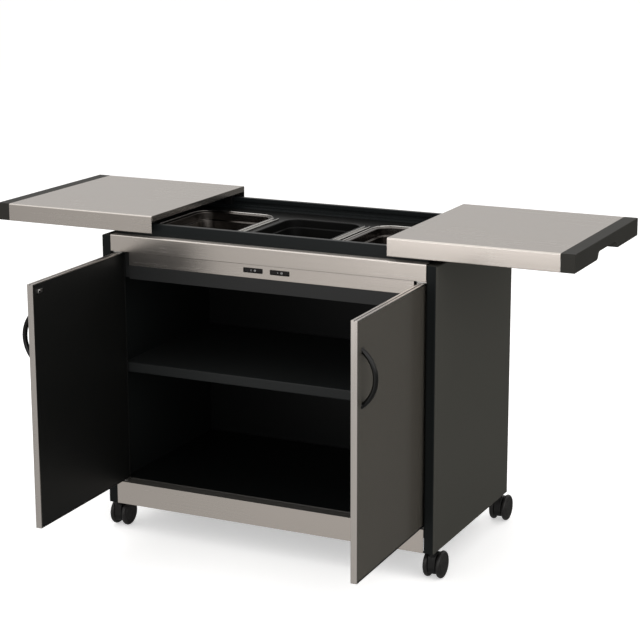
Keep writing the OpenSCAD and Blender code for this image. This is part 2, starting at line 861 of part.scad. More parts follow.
// Hood between the twin wheels, open below, with its axle
module caster(sx, rear) {
  half = wheel_pitch / 2 - wheel_w / 2 - side_gap;
  disc_d = wheel_d - 6;
  boss_d = stem_d + 7;
  seat = 27;
  hood_low = 13;
  top_gap = 1.5;
  color(charcoal) at_caster(sx, rear) {
    difference() {
      union() {
        translate([0, trail, wheel_d / 2]) rotate([0, 90, 0]) cylinder(d = disc_d, h = 2 * half, center = true);
        translate([0, 0, panel_z - seat]) cylinder(d = boss_d, h = seat - top_gap);
        translate([-half, 0, wheel_d / 2]) cube([2 * half, trail, disc_d / 2 - 1]);
      }
      translate([-wheel_pitch, trail - wheel_d, -1]) cube([2 * wheel_pitch, 2 * wheel_d, hood_low + 1]);
      translate([0, 0, panel_z - seat]) cylinder(d = stem_d + 2 * run_gap, h = seat);
      translate([0, trail, wheel_d / 2]) rotate([0, 90, 0])
        cylinder(d = axle_d + 2 * run_gap, h = wheel_pitch, center = true);
    }
    translate([0, trail, wheel_d / 2]) rotate([0, 90, 0])
      cylinder(d = axle_d, h = wheel_pitch + wheel_w / 2, center = true);
  }
}

// One wheel: round tread, ring groove and domed cap, closed outside, bored inside
module wheel(sx, rear, side) {
  r = wheel_d / 2;
  tread = wheel_w / 2;
  bore = wheel_w * 3 / 4 + side_gap;
  ring = r - tread - 2;
  color(black) at_caster(sx, rear) translate([side * wheel_pitch / 2, trail, r])
    rotate([0, side * 90, 0]) difference() {
      rotate_extrude() {
        translate([0, -tread]) square([r - tread, wheel_w]);
        translate([r - tread, 0]) circle(r = tread);
      }
      translate([0, 0, tread - 1]) difference() {
        cylinder(r = ring, h = 2);
        translate([0, 0, -1]) cylinder(r = ring - 1.6, h = 4);
      }
      translate([0, 0, -tread - 1]) cylinder(d = axle_d + 2 * run_gap, h = bore + 1);
    }
}

module front_left_caster() caster(-1, false);
module front_right_caster() caster(1, false);
module rear_left_caster() caster(-1, true);
module rear_right_caster() caster(1, true);
module front_left_wheel_a() wheel(-1, false, -1);
module front_left_wheel_b() wheel(-1, false, 1);
module front_right_wheel_a() wheel(1, false, -1);
module front_right_wheel_b() wheel(1, false, 1);
module rear_left_wheel_a() wheel(-1, true, -1);
module rear_left_wheel_b() wheel(-1, true, 1);
module rear_right_wheel_a() wheel(1, true, -1);
module rear_right_wheel_b() wheel(1, true, 1);

place() left_side_panel();
place() right_side_panel();
place() back_panel();
place() base_board();
place() door_sill();
place() plinth();
place() middle_shelf();
place() shelf_pins();
place() fascia_rail();
place() control_strip();
place() ceiling_panel();
place() front_rail();
place() back_rail();
place() end_rails();
place() well_deck();
place() divider_bars();
place() well_tub();
place() heating_element();
place() thermostat_box();
place() mains_inlet();
place() switch_bezels();
place() left_rocker();
place() right_rocker();
place() hinge_brackets();
place() caster_stems();
place() left_top_sheet();
place() left_top_core();
place() left_end_strip();
place() left_top_shoes();
place() right_top_sheet();
place() right_top_core();
place() right_end_strip();
place() right_top_shoes();
place() left_door_panel();
place() left_door_trim();
place() left_handle();
place() left_door_fittings();
place() right_door_panel();
place() right_door_trim();
place() right_handle();
place() right_door_fittings();
place() left_pan();
place() middle_pan();
place() right_pan();
place() front_left_caster();
place() front_right_caster();
place() rear_left_caster();
place() rear_right_caster();
place() front_left_wheel_a();
place() front_left_wheel_b();
place() front_right_wheel_a();
place() front_right_wheel_b();
place() rear_left_wheel_a();
place() rear_left_wheel_b();
place() rear_right_wheel_a();
place() rear_right_wheel_b();
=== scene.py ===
# %% [markdown]
# # A heated carving trolley, dressed in Blender
# The solids of the trolley come ready made from a CAD model, all in one frame: metres, X to
# the right, Y to the back, Z up, with the origin on the floor. This lesson gives each of them
# its finish, models again the pieces whose soft edges catch the light, and sets up a plain
# studio. Every cell does one job and prints what it made.

import json
import math

import bmesh
import bpy
from mathutils import Matrix, Vector

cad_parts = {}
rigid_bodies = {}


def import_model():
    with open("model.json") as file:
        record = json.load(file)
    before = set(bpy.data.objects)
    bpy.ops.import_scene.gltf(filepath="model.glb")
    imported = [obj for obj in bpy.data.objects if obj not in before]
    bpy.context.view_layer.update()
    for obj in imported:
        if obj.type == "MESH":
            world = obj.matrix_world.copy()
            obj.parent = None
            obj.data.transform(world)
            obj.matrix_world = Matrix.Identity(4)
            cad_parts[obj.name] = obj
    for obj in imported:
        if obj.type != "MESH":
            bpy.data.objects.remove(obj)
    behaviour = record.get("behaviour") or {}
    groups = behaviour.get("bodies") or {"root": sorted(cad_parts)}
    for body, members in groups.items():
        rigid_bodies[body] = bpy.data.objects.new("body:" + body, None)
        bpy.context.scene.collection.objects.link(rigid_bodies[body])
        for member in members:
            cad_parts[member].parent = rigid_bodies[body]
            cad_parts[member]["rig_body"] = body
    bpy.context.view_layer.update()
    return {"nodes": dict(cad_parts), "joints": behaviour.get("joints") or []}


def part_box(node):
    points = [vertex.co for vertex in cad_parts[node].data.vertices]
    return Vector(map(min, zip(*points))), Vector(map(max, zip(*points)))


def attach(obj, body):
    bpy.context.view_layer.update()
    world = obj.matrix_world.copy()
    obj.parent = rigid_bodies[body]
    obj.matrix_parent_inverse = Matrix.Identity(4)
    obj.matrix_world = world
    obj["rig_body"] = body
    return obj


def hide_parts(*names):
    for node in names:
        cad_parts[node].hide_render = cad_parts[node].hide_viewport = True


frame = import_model()
nodes = frame["nodes"]

# %% [markdown]
# ## Shader arithmetic
# A finish is a formula: so much grain here, a little more gloss there. Blender keeps such a
# formula as nodes. The small class below wraps a socket, so that `1 - wear * 0.4` adds the
# Math nodes by itself and the cells that follow read like the formula.


# %% A number that varies over a surface
class Value:
    """One socket of a material; arithmetic on it adds Math nodes."""

    def __init__(self, finish, socket):
        self.finish, self.socket = finish, socket

    def math(self, operation, *terms):
        inputs = {f"_{i}": term for i, term in enumerate(terms)}
        return self.finish.node("ShaderNodeMath", {"operation": operation}, **inputs)

    def __add__(self, other):
        return self.math("ADD", self, other)

    def __sub__(self, other):
        return self.math("SUBTRACT", self, other)

    def __rsub__(self, other):
        return self.math("SUBTRACT", other, self)

    def __mul__(self, other):
        return self.math("MULTIPLY", self, other)

    __radd__ = __add__
    __rmul__ = __mul__

    def between(self, low, high):
        """0 below low, 1 above high, straight in between."""
        return self.finish.node("ShaderNodeMapRange", None, Value=self, From_Min=low, From_Max=high)


# %% Nodes by one method
# Outputs of the Texture Coordinate node: the sky's direction, the face's own direction, the point.
sky_direction, face_direction, point_on_piece = 0, 1, 3


class Nodes:
    """A node tree, with one method that adds any node to it."""

    def feed(self, socket, value):
        if isinstance(value, Value):
            self.tree.links.new(value.socket, socket)
        else:
            socket.default_value = value

    def node(self, kind, settings=None, output=0, **inputs):
        made = self.tree.nodes.new(kind)
        for key, value in (settings or {}).items():
            setattr(made, key, value)
        for key, value in inputs.items():
            name = int(key[1:]) if key[0] == "_" else key.replace("_", " ")
            self.feed(made.inputs[name], value)
        return Value(self, made.outputs[output])

    def blend(self, factor, first, second):
        """Two colours mixed, each a link or three numbers."""
        first, second = (c if isinstance(c, Value) else (*c, 1) for c in (first, second))
        return self.node("ShaderNodeMix", {"data_type": "RGBA"}, 2, _0=factor, _6=first, _7=second)


# %% A finish
class Finish(Nodes):
    """A material and its nodes."""

    def __init__(self, name, **constants):
        self.material = bpy.data.materials.new(name)
        self.material.use_nodes = True
        self.tree = self.material.node_tree
        self.shader = self.tree.nodes["Principled BSDF"]
        for key, value in constants.items():
            self.shader.inputs[key.replace("_", " ")].default_value = value

    def noise(self, scale, detail=2.0, roughness=0.5, offset=(0, 0, 0)):
        """Noise in the piece's own metres, so many times per metre along each axis."""
        scale = scale if isinstance(scale, tuple) else (scale,) * 3
        point = self.node("ShaderNodeTexCoord", output=point_on_piece)
        where = self.node("ShaderNodeMapping", None, Vector=point, Scale=scale, Location=offset)
        return self.node(
            "ShaderNodeTexNoise", None, Vector=where, Scale=1.0, Detail=detail, Roughness=roughness
        )

    def axis(self, index, source=point_on_piece):
        """One coordinate of the point on the piece, in metres, or of another source."""
        coordinates = self.node("ShaderNodeTexCoord", output=source)
        return self.node("ShaderNodeSeparateXYZ", output=index, Vector=coordinates)

    def set(self, **links):
        for key, value in links.items():
            self.feed(self.shader.inputs[key.replace("_", " ")], value)

    def bump(self, height, distance, strength):
        bumped = self.node("ShaderNodeBump", None, Height=height, Distance=distance, Strength=strength)
        self.set(Normal=bumped)


def dress(finish, *names):
    """Gives CAD nodes their finish."""
    for name in names:
        piece = nodes[name]
        if not piece.material_slots:
            piece.data.materials.append(finish.material)
        for slot in piece.material_slots:
            slot.material = finish.material
    print(finish.material.name, "on", len(names), "pieces")


def shades(colour, darker, lighter):
    """A darker and a lighter neighbour of a colour."""
    return tuple(c * darker for c in colour), tuple(min(c * lighter, 1.0) for c in colour)


# %% [markdown]
# ## Tools for modelling by hand
# Every new piece is made as in Blender's own window: a primitive is added, edit mode is
# opened, some faces or edges are picked by where they are, and a tool works on them. The
# helpers below only save typing. `trace` draws a line by extruding one corner from point to
# point, which is how a section of sheet metal or a turned part starts.


# %% Selecting, tracing, sweeping and turning
def alone(piece):
    """Selects one piece and nothing else."""
    if bpy.context.object and bpy.context.object.mode != "OBJECT":
        bpy.ops.object.mode_set(mode="OBJECT")
    bpy.ops.object.select_all(action="DESELECT")
    piece.select_set(True)
    bpy.context.view_layer.objects.active = piece


def edit(piece, element="FACE"):
    alone(piece)
    bpy.ops.object.mode_set(mode="EDIT")
    bpy.ops.mesh.select_mode(type=element)


def done():
    bpy.ops.object.mode_set(mode="OBJECT")


def pick(piece, kind, test):
    """In edit mode: selects the faces or edges whose middle and direction pass a test."""
    bpy.ops.mesh.select_mode(type="FACE" if kind == "faces" else "EDGE")
    bpy.ops.mesh.select_all(action="DESELECT")
    shape = bmesh.from_edit_mesh(piece.data)
    found = 0
    for element in getattr(shape, kind):
        if kind == "faces":
            middle, direction = element.calc_center_median(), element.normal
        else:
            ends = [corner.co for corner in element.verts]
            middle, direction = (ends[0] + ends[1]) / 2, (ends[1] - ends[0]).normalized()
        if test(middle, direction):
            element.select_set(True)
            found += 1
    bmesh.update_edit_mesh(piece.data)
    return found


def trace(name, points):
    """Draws a line of points by extruding one corner from each point to the next."""
    points = [Vector(point) for point in points]
    bpy.ops.object.select_all(action="DESELECT")
    bpy.ops.mesh.primitive_plane_add(size=0.001, location=points[0])
    piece = bpy.context.object
    piece.name = name
    bpy.ops.object.transform_apply(location=True, rotation=False, scale=False)
    edit(piece, "VERT")
    bpy.ops.mesh.select_all(action="SELECT")
    bpy.ops.mesh.merge(type="CENTER")
    for before, after in zip(points, points[1:]):
        bpy.ops.mesh.extrude_vertices_move(TRANSFORM_OT_translate={"value": after - before})
    done()
    return piece


def filled(piece):
    """Joins the ends of a traced outline and fills it with one face."""
    edit(piece, "VERT")
    bpy.ops.mesh.select_all(action="SELECT")
    bpy.ops.mesh.remove_doubles(threshold=1e-6)
    bpy.ops.mesh.edge_face_add()
    done()
    return piece


def swept(piece, step):
    """Pulls a traced line or face straight along a step."""
    edit(piece, "EDGE")
    bpy.ops.mesh.select_all(action="SELECT")
    if len(piece.data.polygons):
        bpy.ops.mesh.extrude_region_move(TRANSFORM_OT_translate={"value": step})
    else:
        bpy.ops.mesh.extrude_edges_move(TRANSFORM_OT_translate={"value": step})
    outward()
    done()
    return piece


def outward():
    """In edit mode: merges corners that coincide and turns all faces outwards."""
    bpy.ops.mesh.select_all(action="SELECT")
    bpy.ops.mesh.remove_doubles(threshold=1e-5)
    bpy.ops.mesh.normals_make_consistent(inside=False)


def turned(piece, centre, axis, steps, angle=2 * math.pi):
    """Spins a traced line about an axis, as on a lathe."""
    edit(piece, "EDGE")
    bpy.ops.mesh.select_all(action="SELECT")
    bpy.ops.mesh.spin(steps=steps, angle=angle, center=centre, axis=axis, use_auto_merge=True)
    outward()
    done()
    return piece


def arc(centre, radius, first, last, steps):
    """Points of an arc, as pairs, with angles in degrees."""
    angles = [math.radians(first + (last - first) * i / steps) for i in range(steps + 1)]
    return [(centre[0] + radius * math.cos(a), centre[1] + radius * math.sin(a)) for a in angles]


# %% Edges, thickness and shading
def with_modifier(piece, kind, **settings):
    """Adds a modifier and applies it."""
    alone(piece)
    added = piece.modifiers.new(kind.lower(), kind)
    for key, value in settings.items():
        setattr(added, key, value)
    bpy.ops.object.modifier_apply(modifier=added.name)
    return piece


def eased(piece, width, segments=2, angle=35.0):
    """Breaks every sharp edge with a small rounded bevel."""
    return with_modifier(
        piece, "BEVEL", width=width, segments=segments, limit_method="ANGLE",
        angle_limit=math.radians(angle), use_clamp_overlap=False, miter_outer="MITER_ARC",
    )


def shaded(piece, angle=35.0):
    """Smooth over soft bends; the weighted normals keep flat faces truly flat."""
    alone(piece)
    bpy.ops.object.shade_smooth_by_angle(angle=math.radians(angle))
    return with_modifier(piece, "WEIGHTED_NORMAL", keep_sharp=True)


def moved(piece, matrix):
    piece.data.transform(matrix)
    piece.data.update()
    return piece


def twin(piece, name, matrix):
    """A copy with its own mesh, somewhere else."""
    copy = bpy.data.objects.new(name, piece.data.copy())
    bpy.context.scene.collection.objects.link(copy)
    return moved(copy, matrix)


def joined(name, *parts):
    alone(parts[0])
    for part in parts[1:]:
        part.select_set(True)
    bpy.ops.object.join()
    parts[0].name = name
    return parts[0]


def fitted(piece, finish, slot, *replaced, body=None):
    """Gives a piece its finish and the body it rides on, and hides what it replaces. The slot is not
    used.
    """
    piece.data.materials.clear()
    piece.data.materials.append(finish.material)
    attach(piece, body or nodes[replaced[0]]["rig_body"])
    if replaced:
        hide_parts(*replaced)
    print(piece.name, len(piece.data.polygons), "faces,", finish.material.name)
    return piece


# %% [markdown]
# ## Softened copies of the solids
# A solid from the CAD has perfectly sharp edges, and nothing real has. Where the form is
# right, its mesh is copied, the loose triangles are merged back into flat faces and every
# sharp edge is broken with a small bevel. That thin bevel catches the light along the edge,
# which is what the eye takes for a real board or pressing. Where a flat face has a hole with a
# narrow rim round it, one merged face can close over the hole, so there the triangles stay.


# %% A solid with its edges eased
def merged_copy(node, flattened=True):
    """A copy of a solid with its loose triangles merged, and its flat faces too."""
    copy = bpy.data.objects.new(node + "_eased", nodes[node].data.copy())
    bpy.context.scene.collection.objects.link(copy)
    alone(copy)
    bpy.ops.mesh.customdata_custom_splitnormals_clear()
    edit(copy, "VERT")
    bpy.ops.mesh.select_all(action="SELECT")
    bpy.ops.mesh.remove_doubles(threshold=2e-6)
    if flattened:
        bpy.ops.mesh.dissolve_limited(angle_limit=math.radians(0.5))
    done()
    return copy


def soften(node, finish, slot, width=0.0006, segments=2, flattened=True):
    piece = eased(merged_copy(node, flattened), width, segments)
    return fitted(shaded(piece), finish, slot, node)


# %% [markdown]
# ## Brushed stainless steel
# The worktops, the fascia and the plinth are sheet steel that was brushed along its length by
# a belt. The belt leaves thousands of fine parallel scratches, which blur a reflection across
# the grain. A noise that is stretched a few hundred times along one axis makes such grain.
# It moves the gloss and the bump a little and the colour hardly at all. Over it lie faint
# cloudy smears, where hands and cloths have been.


# %% Brushed steel
def brushed_steel(name, colour, grain="x", gloss=0.25, metallic=1.0):
    along, across = 2.5, 1500.0
    fine_scale = tuple(along if axis == grain else across for axis in "xyz")
    broad_scale = tuple(along * 0.6 if axis == grain else across / 6 for axis in "xyz")
    finish = Finish(name, Metallic=metallic)
    fine = finish.noise(fine_scale, detail=3.0, roughness=0.65)
    broad = finish.noise(broad_scale, detail=2.0, offset=(3.1, 7.7, 1.9))
    smear = finish.noise(4.0, detail=4.0, roughness=0.62, offset=(9.0, 2.0, 4.0))
    streak = fine * 0.55 + broad * 0.45
    finish.set(
        Base_Color=finish.blend(streak * 0.6 + smear * 0.4, *shades(colour, 0.94, 1.05)),
        Roughness=streak * 0.16 + smear.between(0.42, 0.7) * 0.05 + (gloss - 0.1),
    )
    finish.bump(streak, 0.000015, 0.6)
    return finish


warm_grey = (0.575, 0.535, 0.495)
steel = brushed_steel("brushed_steel_x", warm_grey)
# Painted light: the ledge's copy of the steel is partly non-metallic, so it shows lighter than the steel
# beside it.
lightened_ledge_steel = brushed_steel("brushed_steel_ledge", warm_grey, gloss=0.45, metallic=0.80)
steel_up = brushed_steel("brushed_steel_z", (0.56, 0.53, 0.50), grain="z", gloss=0.30)
print([f.material.name for f in (steel, lightened_ledge_steel, steel_up)])

# %% [markdown]
# ## Charcoal and black laminate
# Side panels and doors are board with a charcoal laminate: nearly even in colour, with a fine
# leathery press grain that turns the mirror into a soft sheen. The noise for the grain is a
# millimetre wide, the one for the sheen's drift as wide as a hand. The compartment is lined
# with the same laminate in black.


# %% Laminate
def laminate(name, colour, gloss, ior=1.28):
    finish = Finish(name, IOR=ior)
    press = finish.noise(900.0, detail=2.0, roughness=0.6)
    drift = finish.noise((3.0, 3.0, 5.0), detail=4.0, roughness=0.6, offset=(4.0, 1.0, 8.0))
    fleck = finish.noise(2600.0, detail=1.0, offset=(1.0, 2.0, 3.0))
    finish.set(
        Base_Color=finish.blend(fleck * 0.4 + press * 0.3 + drift * 0.3, *shades(colour, 0.78, 1.2)),
        Roughness=drift * 0.12 + press * 0.06 + (gloss - 0.09),
    )
    finish.bump(press, 0.00003, 0.5)
    return finish


sill_board = laminate("sill_laminate", (0.0640, 0.0612, 0.0565), 0.36, ior=1.4)
black_board = laminate("black_laminate", (0.0024, 0.0030, 0.0030), 0.46)
shelf_board = laminate("shelf_laminate", (0.0120, 0.0132, 0.0132), 0.42)


# %% [markdown]
# ## Boards with two faces
# A side panel is charcoal outside and black on its edges and towards the compartment. A door
# is the same, with a glossier face in which the handle is mirrored. Each is one board, so one
# finish chooses its colour by which way the face points on the piece itself, and it stays
# right when the door is moved. The doors stand open, so their outer faces look along X too.


# %% Faced boards
def faced_board(name, way, dark, light, black, gloss, grain, ior=1.45, axis=0):
    """A board that is black inside and on its edges; way is 1 or -1, along the axis or against it."""
    finish = Finish(name, IOR=ior)
    press = finish.noise(900.0, detail=2.0, roughness=0.6)
    drift = finish.noise((3.0, 3.0, 5.0), detail=4.0, roughness=0.6, offset=(6.0, 3.0, 2.0))
    fleck = finish.noise(2600.0, detail=1.0, offset=(1.0, 2.0, 3.0))
    outwards, upwards = finish.axis(axis, face_direction), finish.axis(2, face_direction)
    outer = (outwards * float(way)).between(0.5, 0.8) + upwards.between(0.5, 0.8)
    outer_colour = finish.blend(press * 0.2 + fleck * 0.1 + drift * 0.7, dark, light)
    finish.set(
        Base_Color=finish.blend(outer, black, outer_colour),
        Roughness=drift * 0.10 + press * 0.03 - outer * (0.42 - gloss) + 0.36,
    )
    finish.bump(press, grain, 0.4)
    return finish


side_boards, door_boards = {}, {}
for side, way in (("left", -1), ("right", 1)):
    side_boards[side] = faced_board(
        side + "_side_board", way, (0.0380, 0.0376, 0.0325), (0.0500, 0.0487, 0.0425),
        (0.0075, 0.0086, 0.0086), gloss=0.38, grain=0.00003, ior=1.13,
    )
    door_boards[side] = faced_board(
        side + "_door_board", way, (0.0460, 0.0422, 0.0355), (0.0560, 0.0515, 0.0435),
        (0.0040, 0.0042, 0.0038), gloss=0.22, grain=0.0000015,
    )
back_board = faced_board(
    "back_board", 1, (0.0120, 0.0120, 0.0115), (0.0200, 0.0200, 0.0190), (0.0024, 0.0030, 0.0030),
    gloss=0.42, grain=0.00005, ior=1.3, axis=1,
)
print("boards:", [f.material.name for f in (*side_boards.values(), *door_boards.values())])

# %% [markdown]
# ## Dark parts of metal and plastic
# The rails are coated aluminium profiles, drawn along X, so they keep faint die lines. The end
# strips, handles and caster hoods are moulded plastic with a fine spark-eroded texture. The
# wheels are of a harder nylon, glossier and a little lighter.


# %% Coated rails and enamelled sheet
def coated(name, colour, gloss, ior=1.38, depth=0.00003):
    finish = Finish(name, IOR=ior)
    lines = finish.noise((2.0, 700.0, 700.0), detail=2.0)
    peel = finish.noise(500.0, detail=2.0, offset=(5.0, 5.0, 5.0))
    finish.set(
        Base_Color=finish.blend(lines * 0.6 + peel * 0.4, *shades(colour, 0.82, 1.18)),
        Roughness=peel * 0.1 + lines * 0.06 + (gloss - 0.08),
    )
    finish.bump(lines * 0.5 + peel * 0.5, depth, 0.5)
    return finish


rail_coat = coated("coated_rail", (0.0070, 0.0086, 0.0090), 0.34, ior=1.24)
enamel = coated("black_enamel", (0.0042, 0.0042, 0.0040), 0.32, ior=1.2, depth=0.000006)
apron_coat = coated("apron_coat", (0.0110, 0.0115, 0.0115), 0.42)


# %% Moulded plastic
def moulded(name, colour, gloss, ior=1.33, grain=1300.0, depth=0.00004):
    finish = Finish(name, IOR=ior)
    pebble = finish.noise(grain, detail=1.5)
    drift = finish.noise(14.0, detail=3.0, offset=(2.0, 8.0, 6.0))
    finish.set(
        Base_Color=finish.blend(pebble * 0.4 + drift * 0.6, *shades(colour, 0.8, 1.2)),
        Roughness=pebble * 0.1 + drift * 0.08 + (gloss - 0.09),
    )
    finish.bump(pebble, depth, 0.5)
    return finish


strip_plastic = moulded("end_strip_plastic", (0.0255, 0.0248, 0.0220), 0.42, ior=1.14)
black_plastic = moulded("black_plastic", (0.0060, 0.0060, 0.0058), 0.40)
switch_plastic = moulded("switch_plastic", (0.0020, 0.0018, 0.0017), 0.22, grain=700.0, depth=0.00001)
handle_plastic = moulded(
    "handle_plastic", (0.0026, 0.0025, 0.0023), 0.27, ior=1.38, grain=900.0, depth=0.00001
)
hood_plastic = moulded("caster_plastic", (0.0042, 0.0041, 0.0040), 0.36)
wheel_plastic = moulded("wheel_nylon", (0.0125, 0.0118, 0.0114), 0.32, grain=700.0, depth=0.00002)
white_mark = moulded("white_print", (0.55, 0.55, 0.55), 0.5)
core_board = moulded("core_board", (0.018, 0.014, 0.011), 0.8, grain=500.0, depth=0.0001)


# %% [markdown]
# ## Pressed pans and plated parts
# The pans are satin steel: pressed, not brushed, so their blur has no direction. Their colour
# is painted dark, a painted reflection of dark surroundings, and the top of each rim is painted
# light, a painted highlight. Pins and brackets are zinc plated, with the cloudy spangle that
# plating leaves. The heating element's sheath has turned brown in patches from its own heat.


# %% Satin and plated steel
def satin(name, colour, gloss, cloudiness, grain=60.0, painted_light_z=None, painted_light_colour=None):
    """Above the given rim height the colour turns light: a painted highlight along the pan's rim."""
    finish = Finish(name, Metallic=1.0)
    cloud = finish.noise(grain, detail=4.0, roughness=0.6)
    fine = finish.noise(1800.0, detail=2.0, offset=(7.0, 1.0, 3.0))
    clouded = finish.blend(cloud, *shades(colour, 1 - cloudiness, 1 + cloudiness * 0.5))
    if painted_light_z:
        # Painted highlight: a band at the top of the rim gets the light rim colour.
        painted_rim_light = finish.axis(2).between(painted_light_z - 0.0009, painted_light_z - 0.0004)
        clouded = finish.blend(painted_rim_light, clouded, painted_light_colour)
    finish.set(Base_Color=clouded, Roughness=cloud * 0.08 + fine * 0.06 + (gloss - 0.07))
    finish.bump(fine, 0.00001, 0.3)
    return finish


pan_rim_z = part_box("left_pan")[1].z
# The pans' dark colour is painted reflection: it stands in for the dark surroundings they mirror. The
# light rim colour is a painted highlight.
pan_steel = satin("pan_steel", (0.130, 0.119, 0.110), 0.22, 0.08, 25.0, pan_rim_z, (0.74, 0.72, 0.69))
bar_steel = satin("bar_steel", (0.62, 0.61, 0.59), 0.24, 0.05, grain=25.0)
plated = satin("zinc_plate", (0.60, 0.59, 0.57), 0.30, 0.22)
chrome = satin("chrome_button", (0.80, 0.80, 0.80), 0.12, 0.05)
sheath = satin("element_sheath", (0.20, 0.16, 0.14), 0.45, 0.45, grain=18.0)
print("metals:", [f.material.name for f in (pan_steel, bar_steel, plated, chrome, sheath)])

# %% [markdown]
# ## The cabinet's boards
# The boards, the rails and the folded sheets keep the form of their solids; their edges are
# eased. A side panel's edge is a tight round of laminate, so it gets the widest bevel.

# %% Boards, rails and sheets
for side in ("left", "right"):
    soften(side + "_side_panel", side_boards[side], "charcoal_laminate", 0.0008, 3)
soften("door_sill", sill_board, "charcoal_laminate", 0.0005)
soften("base_board", black_board, "black_laminate", 0.0006)
soften("middle_shelf", shelf_board, "black_laminate", 0.0005)
soften("back_panel", back_board, "black_laminate", 0.0004)
soften("plinth", steel, "brushed_steel", 0.0004)
soften("control_strip", steel, "brushed_steel", 0.0003)
soften("ceiling_panel", apron_coat, "black_enamel", 0.0003)
for rail in ("front_rail", "back_rail", "end_rails"):
    soften(rail, rail_coat, "dark_aluminium", 0.0007, 3)
soften("well_deck", enamel, "black_enamel", 0.0004)
soften("divider_bars", bar_steel, "pan_steel", 0.0002)
soften("well_tub", bar_steel, "pan_steel", 0.0004)

# %% [markdown]
# ## The fascia
# One strip of steel, folded three times: a return below, the tall face, a soft fold at the top,
# the ledge and a short leg down behind it. It is traced as a section from end to end, pulled
# along X and then given the sheet's thickness inwards. The ledge's brushing is coarser, and its
# steel is made partly non-metallic, so it shows lighter than the dark rail it mirrors: painted light.

# %% Fold the fascia
sheet_t = 0.0012
low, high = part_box("fascia_rail")
top_fold, low_fold, back_leg = 0.0026, 0.0012, 0.0175
return_gap = 0.0018
section = [(high.y - return_gap, low.z)]
section += arc((low.y + low_fold, low.z + low_fold), low_fold, 270, 180, 3)
section += arc((low.y + top_fold, high.z - top_fold), top_fold, 180, 90, 8)
section += [(high.y, high.z), (high.y, high.z - back_leg)]
fascia = trace("fascia_sheet", [(low.x, y, z) for y, z in section])
swept(fascia, (high.x - low.x, 0, 0))


def thick_sheet(piece, thickness, up_at):
    """Gives a sheet its thickness on the side away from its outer face."""
    edit(piece)
    seen = [f.normal.z for f in bmesh.from_edit_mesh(piece.data).faces if up_at(f.calc_center_median())]
    if sum(seen) < 0:
        bpy.ops.mesh.select_all(action="SELECT")
        bpy.ops.mesh.flip_normals()
    done()
    return with_modifier(piece, "SOLIDIFY", thickness=thickness, offset=-1.0, use_even_offset=True)


thick_sheet(fascia, sheet_t, lambda middle: middle.z > high.z - 1e-4)
fitted(shaded(fascia), steel, "brushed_steel", "fascia_rail")
# The ledge faces take the lightened steel: painted light.
fascia.data.materials.append(lightened_ledge_steel.material)
for face in fascia.data.polygons:
    face.material_index = int(face.normal.z > 0.99 and face.center.z > high.z - 1e-4)

# %% [markdown]
# ## The sliding tops
# Each top is a sheet of steel folded down over a board: front skirt, worktop and back skirt in
# one run of grain, with a short flap turned down at the inner edge. The skirts' lower edges
# have a narrow hem turned in, so that nobody is cut by a bare edge. As with the fascia, the
# section is traced, pulled along X and thickened inwards.


# %% Fold the tops
def top_sheet(side):
    low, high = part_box(side + "_top_sheet")
    fold, hem, hem_fold, flap = 0.003, 0.005, 0.0012, 0.0125
    section = [(low.y + hem, low.z), (low.y + hem_fold, low.z)]
    section += arc((low.y + hem_fold, low.z + hem_fold), hem_fold, 270, 180, 3)[1:]
    section += arc((low.y + fold, high.z - fold), fold, 180, 90, 7)
    section += arc((high.y - fold, high.z - fold), fold, 90, 0, 7)
    section += arc((high.y - hem_fold, low.z + hem_fold), hem_fold, 0, -90, 3)
    section += [(high.y - hem, low.z)]
    inner_x, outer_x = (high.x, low.x) if side == "left" else (low.x, high.x)
    sheet = trace(side + "_worktop_sheet", [(outer_x, y, z) for y, z in section])
    swept(sheet, (inner_x - outer_x, 0, 0))

    def at_inner_edge(middle, way):
        return abs(middle.x - inner_x) < 1e-5 and middle.z > high.z - 1e-5 and abs(way.y) > 0.999

    edit(sheet, "EDGE")
    pick(sheet, "edges", at_inner_edge)
    bpy.ops.mesh.extrude_edges_move(TRANSFORM_OT_translate={"value": (0, 0, -flap)})
    done()
    thick_sheet(sheet, sheet_t, lambda middle: middle.z > high.z - 1e-4)
    eased(sheet, 0.0004, 2, 50)
    return fitted(shaded(sheet), steel, "brushed_steel", side + "_top_sheet")


for side in ("left", "right"):
    top_sheet(side)
    soften(side + "_top_core", core_board, "core_board", 0.0005)
    soften(side + "_top_shoes", black_plastic, "black_plastic", 0.0006)

# %% [markdown]
# ## End strips
# A moulded strip closes each top's outer end. A finger notch is cut up into its lower edge.
# The four corners of the notch are well rounded, so their edges are picked and bevelled
# first, wide; then all the other edges are eased.


# %% End strips with their notches
def end_strip(side):
    low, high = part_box(side + "_end_strip")
    strip = merged_copy(side + "_end_strip")
    middle_y, reach, notch_round = (low.y + high.y) / 2, 0.08, 0.0055
    edit(strip, "EDGE")
    picked = pick(strip, "edges", lambda at, way: abs(way.x) > 0.999 and abs(at.y - middle_y) < reach)
    bpy.ops.mesh.bevel(offset=notch_round, segments=6, affect="EDGES")
    done()
    eased(strip, 0.0014, 3, 40)
    print(picked, "notch corners")
    return fitted(shaded(strip, 40), strip_plastic, "black_plastic", side + "_end_strip")


for side in ("left", "right"):
    end_strip(side)

# %% [markdown]
# ## Doors
# A door is a board in a frame of bright trim. Both are easiest to model shut, facing the
# front, and then swung open about the hinge, so a small function gives that swing. The hinge's
# place and its angle come from the joint in the record.

# %% Doors and their trim
joints = {joint["name"]: joint for joint in frame["joints"]}


def swing(side):
    """The turn that takes a shut door to where it stands open."""
    hinge = joints[side + "_door_hinge"]
    pin = Vector(hinge["pos_m"])
    angle = math.radians(-hinge["range_deg"][0]) * hinge["axis"][2]
    return Matrix.Translation(pin) @ Matrix.Rotation(angle, 4, "Z") @ Matrix.Translation(-pin)


